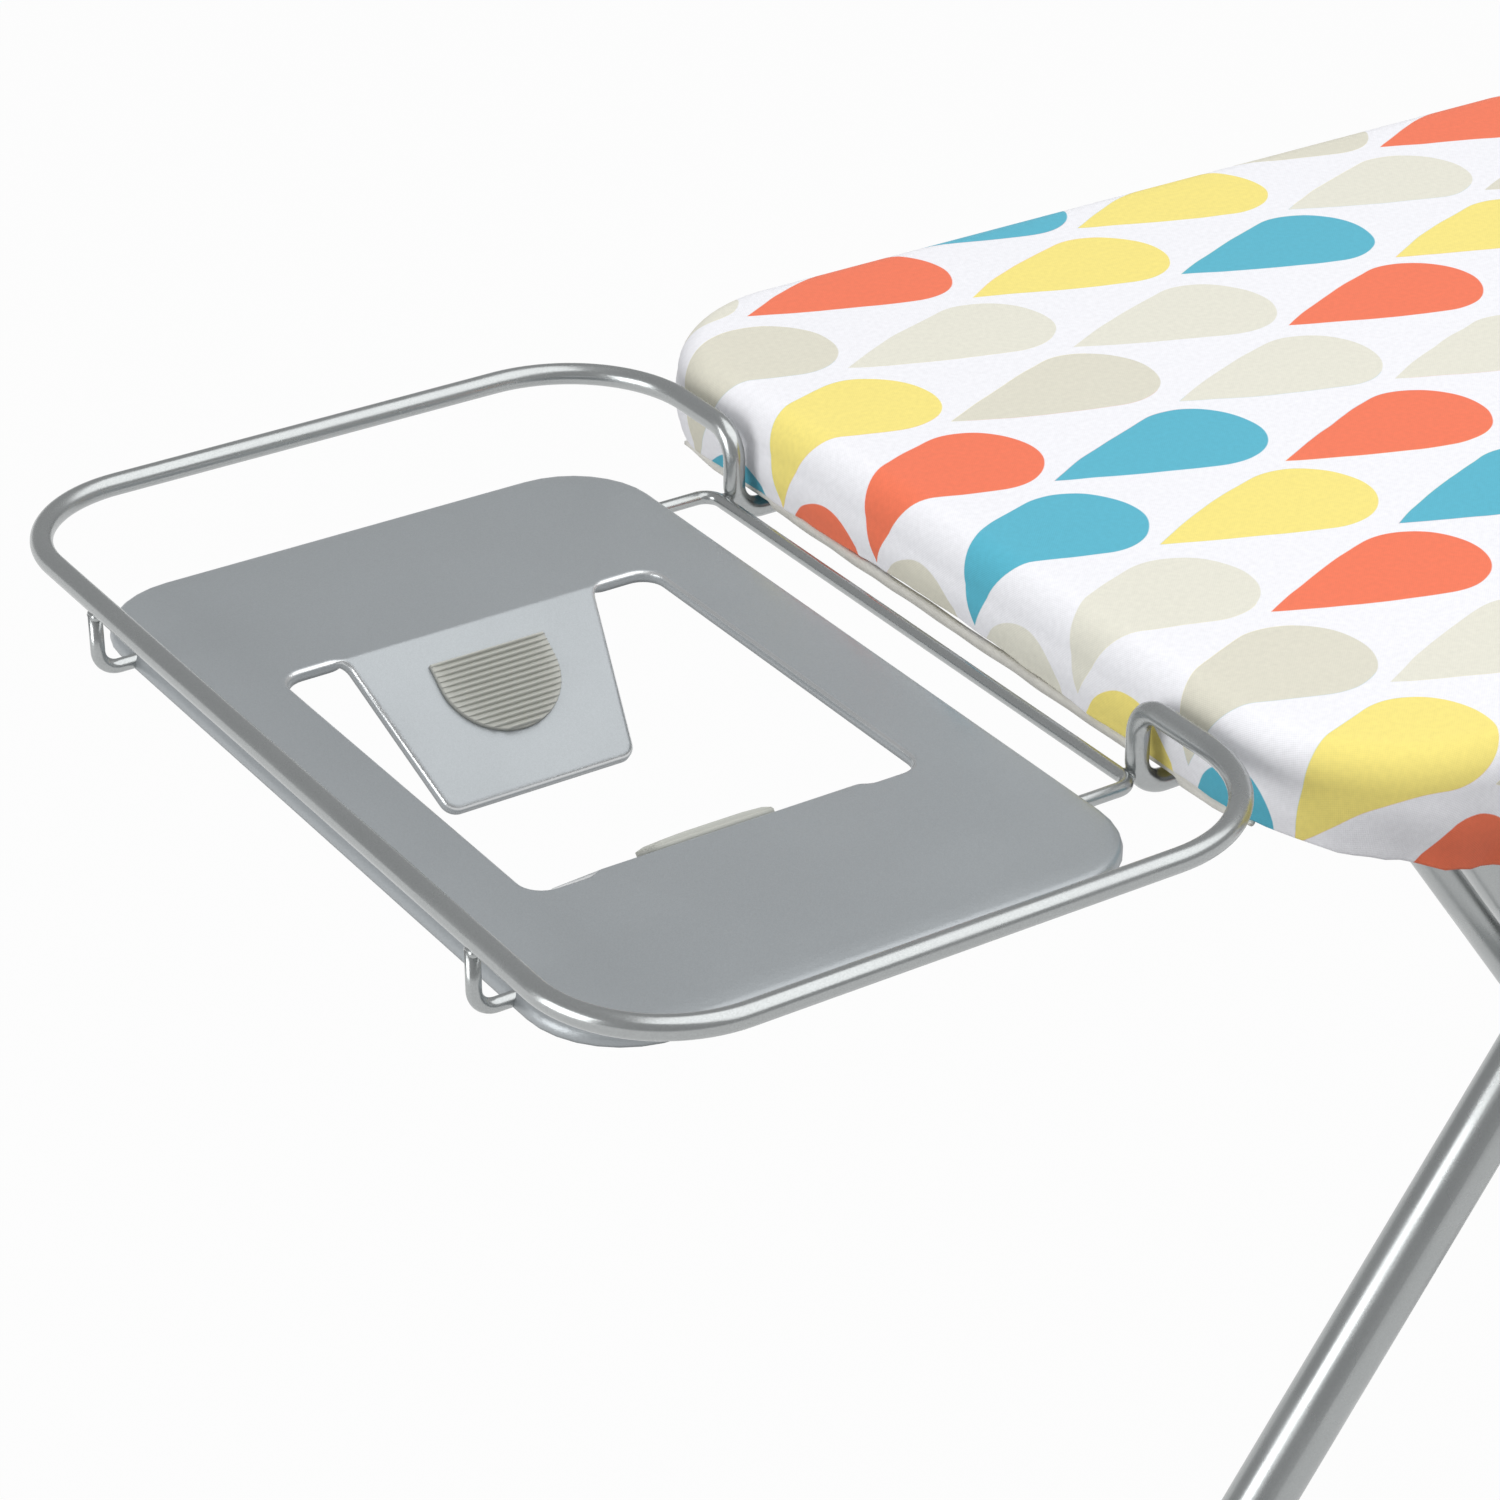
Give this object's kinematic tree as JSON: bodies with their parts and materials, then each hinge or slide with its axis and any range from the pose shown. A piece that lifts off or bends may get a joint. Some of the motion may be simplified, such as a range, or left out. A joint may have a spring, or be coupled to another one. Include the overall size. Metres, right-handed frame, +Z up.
{
  "type": "ironing board",
  "caption": "Folding ironing board with a padded cloth cover, crossed tube legs that fold flat, a height lever, and a wire iron rest with a pressed plate at the tail.",
  "frame": {"origin": "on the floor, under the middle of the overall length and width", "axes": "+Z up, +X along the board from the iron rest towards the nose, +Y to the far side, away from the height lever"},
  "size_m": [1.5296, 0.46, 0.9348],
  "materials": {
    "cotton_print": "plain-woven cotton, printed with teardrops",
    "felt": "needled felt",
    "deck_steel": "satin paint on perforated sheet",
    "frame_paint": "satin silver-grey paint",
    "rest_paint": "satin silver-grey paint",
    "plate_paint": "fine textured grey paint",
    "zinc_steel": "zinc plated",
    "silicone": "ribbed grey silicone",
    "black_plastic": "moulded, fine texture",
    "nylon": "natural nylon",
    "foot_rubber": "soft moulded"
  },
  "bodies": {
    "board": {"cotton_cover": "cotton_print", "underlay_pad": "felt", "deck_sheet": "deck_steel", "rim_frame": "frame_paint", "deck_straps": "frame_paint", "hinge_bracket": "zinc_steel", "hinge_pin": "zinc_steel", "rack_rivets": "zinc_steel", "rack_rail_near": "zinc_steel", "rack_rail_far": "zinc_steel", "rest_socket_near": "black_plastic", "rest_socket_far": "black_plastic", "socket_screws": "zinc_steel", "lever_spring": "zinc_steel", "rest_rail": "rest_paint", "rest_wire_frame": "rest_paint", "rest_plate": "plate_paint", "grip_pad_near": "silicone", "grip_pad_far": "silicone"},
    "height_lever": {"locking_frame": "zinc_steel", "lever_grip": "black_plastic"},
    "twin_leg": {"twin_tube_near": "frame_paint", "twin_tube_far": "frame_paint", "twin_plugs": "black_plastic", "twin_ears": "frame_paint", "pivot_bolt": "zinc_steel", "pivot_nut": "zinc_steel", "pivot_washers": "nylon", "nose_foot_tube": "frame_paint", "nose_foot_near": "foot_rubber", "nose_foot_far": "foot_rubber"},
    "main_leg": {"main_tube": "frame_paint", "main_plug": "black_plastic", "axle_ears": "frame_paint", "cross_axle": "zinc_steel", "axle_sleeve_near": "nylon", "axle_sleeve_far": "nylon", "pivot_bush": "nylon", "tail_foot_tube": "frame_paint", "tail_foot_near": "foot_rubber", "tail_foot_far": "foot_rubber"}
  },
  "joints": [
    {"name": "leg_fold", "type": "hinge", "parent": "board", "child": "twin_leg", "pos_m": [-0.31962, 0, 0.89626], "axis": [0, -1, 0], "range_deg": [0, 51.2]},
    {"name": "leg_scissor", "type": "hinge", "parent": "twin_leg", "child": "main_leg", "pos_m": [-0.14722, 0, 0.61619], "axis": [0, -1, 0], "range_deg": [-102.4, 0]},
    {"name": "lever_pull", "type": "hinge", "parent": "board", "child": "height_lever", "pos_m": [-0.05082, 0, 0.88685], "axis": [0, 1, 0], "range_deg": [0, 5], "stiffness_Nm_per_rad": 8, "springref_deg": -8.59}
  ],
  "couplings": [
    {"joint": "leg_scissor", "follows": "leg_fold", "ratio": -2}
  ]
}
